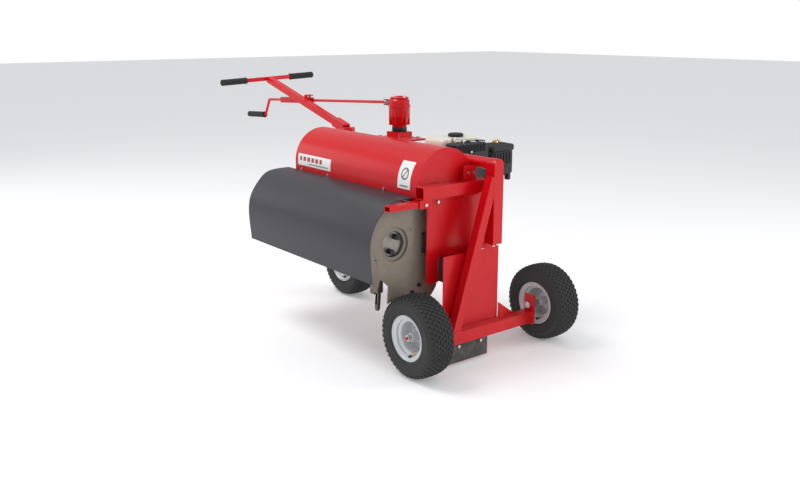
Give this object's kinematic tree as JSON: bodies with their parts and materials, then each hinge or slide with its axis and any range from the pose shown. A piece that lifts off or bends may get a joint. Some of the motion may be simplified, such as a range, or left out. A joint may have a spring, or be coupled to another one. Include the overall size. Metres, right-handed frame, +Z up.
{
  "type": "core aerator",
  "caption": "Engine-driven turf core aerator slung in a three-wheeled hand-towed carriage with a crank jack, hood and drum guard.",
  "frame": {"origin": "on the ground under the middle of the machine's bounding box", "axes": "+X from the tow handle to the two-wheeled end, +Y across the machine to the engine side, +Z up"},
  "size_m": [2.2474, 0.9522, 1.0796],
  "materials": {
    "turf_rubber": "matt turf rubber",
    "wheel_silver": "satin silver paint",
    "red_paint": "gloss red powder coat",
    "grey_paint": "satin grey paint",
    "charcoal_paint": "satin charcoal paint",
    "black_paint": "satin black paint",
    "zinc": "zinc plated",
    "dark_steel": "oiled steel",
    "grip_rubber": "soft black rubber",
    "guide_plastic": "black slide plastic",
    "engine_alloy": "cast",
    "tank_plastic": "cream",
    "black_plastic": "moulded"
  },
  "bodies": {
    "carriage": {"lower_rail": "red_paint", "stub_axles": "zinc", "frame_diagonal": "red_paint", "frame_post": "red_paint", "top_beam": "red_paint", "lower_panel": "red_paint", "ground_flap": "grey_paint", "carriage_bolts": "zinc", "jack_bracket": "red_paint", "jack_housing": "red_paint"},
    "near_wheel": {"near_tyre": "turf_rubber", "near_rim": "wheel_silver"},
    "far_wheel": {"far_tyre": "turf_rubber", "far_rim": "wheel_silver"},
    "front_wheel": {"front_tyre": "turf_rubber", "front_rim": "wheel_silver"},
    "steering": {"steering_fork": "red_paint", "front_axle": "zinc", "tongue": "red_paint", "tow_grips": "grip_rubber"},
    "guide": {"rod_guide": "red_paint"},
    "rod_yaw": {"joint_cross": "zinc"},
    "crank": {"crank_rod": "red_paint"},
    "grip": {"crank_grip": "grip_rubber"},
    "jack_input": {"jack_input_shaft": "dark_steel"},
    "screw": {"jack_screw": "dark_steel"},
    "unit": {"near_side_plate": "grey_paint", "far_side_plate": "grey_paint", "plate_bolts": "black_paint", "tie_rods": "zinc", "bearing_flanges": "dark_steel", "top_tubes": "red_paint", "spine_beam": "red_paint", "upper_panel": "red_paint", "shelf_bar": "red_paint", "hood": "red_paint", "drum_guard": "charcoal_paint", "unit_bolts": "zinc", "guide_shoes": "guide_plastic", "engine_deck": "red_paint", "jack_ram": "zinc", "engine_block": "engine_alloy", "fan_housing": "black_paint", "fuel_tank": "tank_plastic", "air_cleaner": "black_plastic", "muffler": "dark_steel", "drive_belt": "grip_rubber", "drive_chain": "dark_steel"},
    "main_crank": {"main_crankshaft": "dark_steel", "hub_studs": "black_paint"},
    "timing_crank": {"timing_crankshaft": "dark_steel"},
    "near_tine": {"near_tine_arms": "dark_steel", "near_tines": "dark_steel"},
    "tine_bank": {"bank_tine_arms": "dark_steel", "bank_tines": "dark_steel"},
    "counter": {"countershaft": "dark_steel"},
    "output": {"engine_shaft": "dark_steel"},
    "cap": {"fuel_cap": "black_plastic"},
    "throttle": {"throttle_lever": "black_plastic"},
    "starter": {"starter_handle": "black_plastic"}
  },
  "joints": [
    {"name": "near_wheel_roll", "type": "hinge", "parent": "carriage", "child": "near_wheel", "pos_m": [0.9587, -0.3365, 0.165], "axis": [0, 1, 0], "continuous": true},
    {"name": "far_wheel_roll", "type": "hinge", "parent": "carriage", "child": "far_wheel", "pos_m": [0.9587, 0.3745, 0.165], "axis": [0, 1, 0], "continuous": true},
    {"name": "steer", "type": "hinge", "parent": "carriage", "child": "steering", "pos_m": [-0.0893, 0.0805, 0.165], "axis": [0, 0, 1], "range_deg": [-12, 33]},
    {"name": "front_wheel_roll", "type": "hinge", "parent": "steering", "child": "front_wheel", "pos_m": [-0.0893, 0.0805, 0.165], "axis": [0, 1, 0], "continuous": true},
    {"name": "guide_swivel", "type": "hinge", "parent": "steering", "child": "guide", "pos_m": [-0.5063, 0.1205, 0.9515], "axis": [0, 0, 1], "range_deg": [-12.6, 4.7]},
    {"name": "rod_swing", "type": "hinge", "parent": "carriage", "child": "rod_yaw", "pos_m": [0.1587, 0.1205, 0.988], "axis": [0, 0, 1], "range_deg": [-7.8, 21]},
    {"name": "crank_turn", "type": "hinge", "parent": "rod_yaw", "child": "crank", "pos_m": [0.1587, 0.1205, 0.988], "axis": [-0.9985, 0, -0.0541], "range_deg": [-121, 1201]},
    {"name": "grip_spin", "type": "hinge", "parent": "crank", "child": "grip", "pos_m": [-1.03156, 0.0925, 0.83954], "axis": [-0.9985, 0, -0.0541], "continuous": true},
    {"name": "input_turn", "type": "hinge", "parent": "carriage", "child": "jack_input", "pos_m": [0.2087, 0.1205, 0.988], "axis": [-1, 0, 0], "range_deg": [-121, 1201]},
    {"name": "screw_turn", "type": "hinge", "parent": "carriage", "child": "screw", "pos_m": [0.2637, 0.1205, 0.8], "axis": [0, 0, 1], "range_deg": [-121, 1201]},
    {"name": "lift", "type": "slide", "parent": "carriage", "child": "unit", "axis": [0, 0, 1], "range_m": [-0.004, 0.04]},
    {"name": "drum_turn", "type": "hinge", "parent": "unit", "child": "main_crank", "pos_m": [0.4587, -0.3495, 0.506], "axis": [1, 0, 0], "continuous": true},
    {"name": "timing_turn", "type": "hinge", "parent": "unit", "child": "timing_crank", "pos_m": [0.4587, -0.1945, 0.506], "axis": [1, 0, 0], "continuous": true},
    {"name": "near_tine_swing", "type": "hinge", "parent": "main_crank", "child": "near_tine", "pos_m": [0.7427, -0.3495, 0.446], "axis": [1, 0, 0], "continuous": true},
    {"name": "tine_bank_swing", "type": "hinge", "parent": "main_crank", "child": "tine_bank", "pos_m": [0.4587, -0.3495, 0.566], "axis": [1, 0, 0], "continuous": true},
    {"name": "counter_turn", "type": "hinge", "parent": "unit", "child": "counter", "pos_m": [0.2587, -0.0865, 0.65], "axis": [1, 0, 0], "continuous": true},
    {"name": "output_turn", "type": "hinge", "parent": "unit", "child": "output", "pos_m": [0.4587, 0.2015, 0.7], "axis": [1, 0, 0], "continuous": true},
    {"name": "cap_turn", "type": "hinge", "parent": "unit", "child": "cap", "pos_m": [0.5487, 0.2155, 0.86], "axis": [0, 0, 1], "range_deg": [0, 90]},
    {"name": "throttle_swing", "type": "hinge", "parent": "unit", "child": "throttle", "pos_m": [0.6237, 0.2755, 0.844], "axis": [0, 0, 1], "range_deg": [-30, 30]},
    {"name": "starter_pull", "type": "slide", "parent": "unit", "child": "starter", "axis": [1, 0, 0], "range_m": [0, 0.3], "stiffness_N_per_m": 20, "springref_m": -0.3}
  ],
  "couplings": [
    {"joint": "guide_swivel", "follows": "steer", "ratio": -0.373},
    {"joint": "rod_swing", "follows": "steer", "ratio": 0.627},
    {"joint": "crank_turn", "follows": "lift", "rad_per_m": 523.6},
    {"joint": "input_turn", "follows": "lift", "rad_per_m": 523.6},
    {"joint": "screw_turn", "follows": "lift", "rad_per_m": 523.6},
    {"joint": "timing_turn", "follows": "drum_turn", "ratio": 1},
    {"joint": "near_tine_swing", "follows": "drum_turn", "ratio": -1},
    {"joint": "tine_bank_swing", "follows": "drum_turn", "ratio": -1},
    {"joint": "counter_turn", "follows": "drum_turn", "ratio": 3.6},
    {"joint": "output_turn", "follows": "drum_turn", "ratio": 8.4857}
  ]
}
